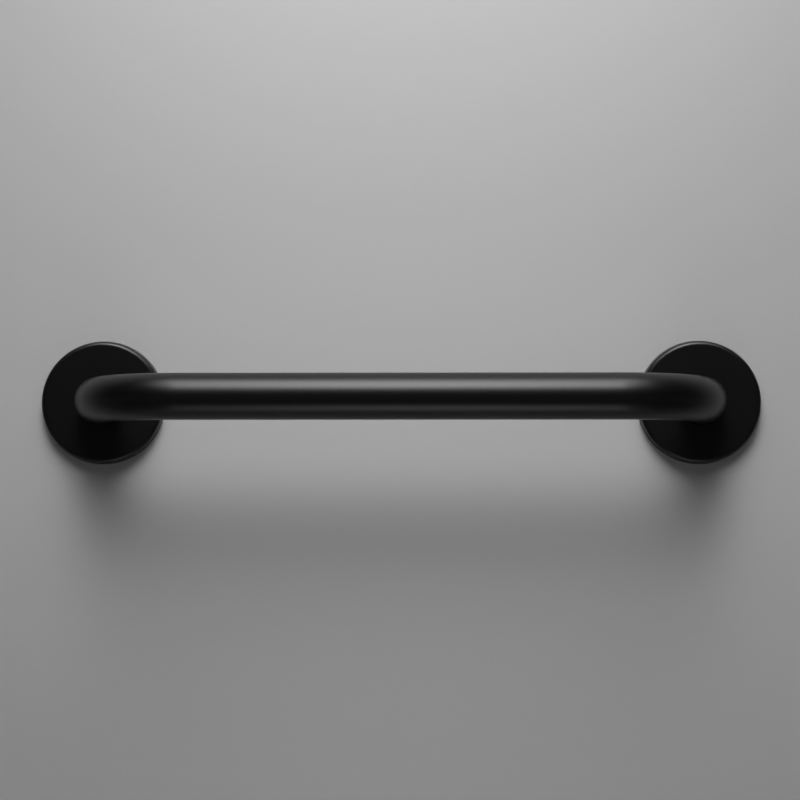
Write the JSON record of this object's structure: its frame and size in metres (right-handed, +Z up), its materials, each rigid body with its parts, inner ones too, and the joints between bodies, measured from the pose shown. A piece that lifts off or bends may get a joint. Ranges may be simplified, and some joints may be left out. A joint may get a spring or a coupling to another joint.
{
  "type": "grab bar",
  "caption": "Wall grab bar: a bent round tube with a straight grip, welded to fixing plates that round push-fit covers hide. Satin black coat.",
  "frame": {"origin": "on the wall plane, midway between the axes of the two legs", "axes": "+X along the grip to the right as seen from the room, +Y into the wall, +Z up"},
  "size_m": [0.483, 0.1, 0.083],
  "materials": {
    "bar_coat": "satin black powder coat on welded steel tube and plate",
    "cover_coat": "satin black powder coat on pressed steel sheet"
  },
  "bodies": {
    "bar": {"grab_tube": "bar_coat", "left_fixing_plate": "bar_coat", "right_fixing_plate": "bar_coat"},
    "left_cover": {"left_cover": "cover_coat"},
    "right_cover": {"right_cover": "cover_coat"}
  },
  "joints": [
    {"name": "left_cover_slide", "type": "slide", "parent": "bar", "child": "left_cover", "axis": [0, -1, 0], "range_m": [0, 0.015]},
    {"name": "right_cover_slide", "type": "slide", "parent": "bar", "child": "right_cover", "axis": [0, -1, 0], "range_m": [0, 0.015]}
  ]
}
